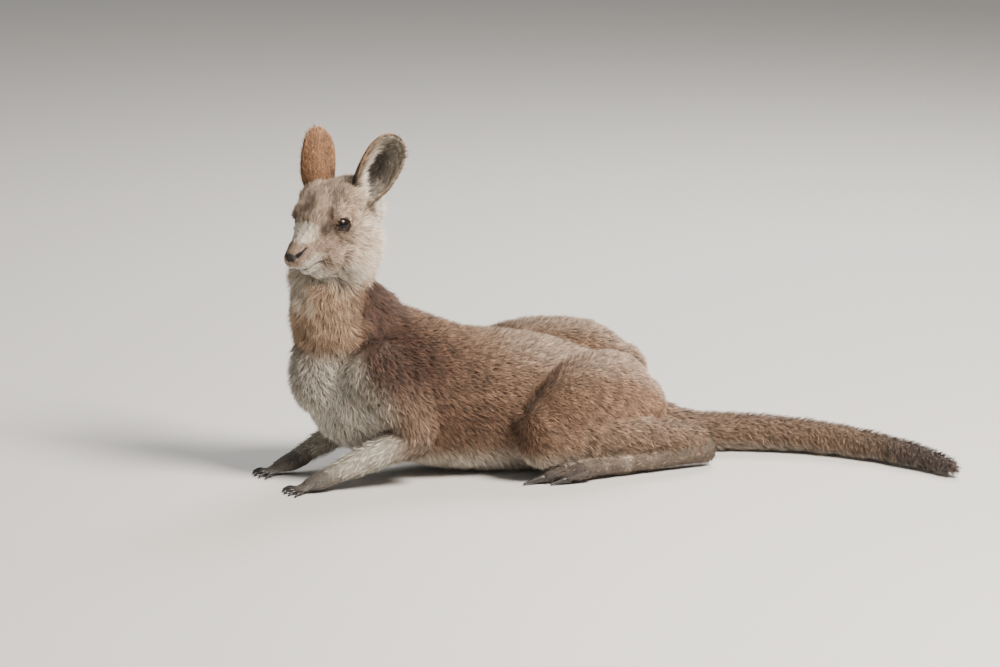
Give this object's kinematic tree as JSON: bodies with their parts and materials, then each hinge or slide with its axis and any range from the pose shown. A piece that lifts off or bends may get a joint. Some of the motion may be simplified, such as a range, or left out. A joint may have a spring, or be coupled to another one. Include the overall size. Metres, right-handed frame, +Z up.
{
  "type": "kangaroo",
  "caption": "Young grey kangaroo lying on its belly with the head raised and turned, ears up, legs folded and the tail laid along the floor.",
  "frame": {"origin": "on the floor under the belly, where the belly rests", "axes": "+Z up, the animal faces -Y, its left side is +X and the tail runs toward +Y"},
  "size_m": [0.3693, 0.7078, 0.3829],
  "materials": {
    "grey_coat": "soft fur",
    "pale_coat": "soft fur",
    "face_coat": "short fur",
    "ear_coat": "short fur",
    "paw_coat": "short fur",
    "claw": "horn, slight sheen",
    "eye": "wet gloss"
  },
  "bodies": {
    "root": {"trunk": "grey_coat", "thigh_left": "grey_coat", "thigh_right": "grey_coat", "shank_left": "grey_coat", "shank_right": "grey_coat", "upper_arm_left": "grey_coat", "upper_arm_right": "grey_coat", "forearm_left": "grey_coat", "forearm_right": "grey_coat", "tail_base": "grey_coat", "tail_middle": "grey_coat", "tail_tip": "grey_coat", "neck": "pale_coat", "head": "face_coat", "ear_left": "ear_coat", "eye_left": "eye", "hand_left": "paw_coat", "foot_left": "paw_coat", "claw_fourth_toe_left": "claw", "claw_fifth_toe_left": "claw", "claw_second_third_toe_left": "claw", "claw_first_finger_left": "claw", "claw_second_finger_left": "claw", "claw_third_finger_left": "claw", "claw_fourth_finger_left": "claw", "claw_fifth_finger_left": "claw", "ear_right": "ear_coat", "eye_right": "eye", "hand_right": "paw_coat", "foot_right": "paw_coat", "claw_fourth_toe_right": "claw", "claw_fifth_toe_right": "claw", "claw_second_third_toe_right": "claw", "claw_first_finger_right": "claw", "claw_second_finger_right": "claw", "claw_third_finger_right": "claw", "claw_fourth_finger_right": "claw", "claw_fifth_finger_right": "claw"}
  },
  "joints": []
}
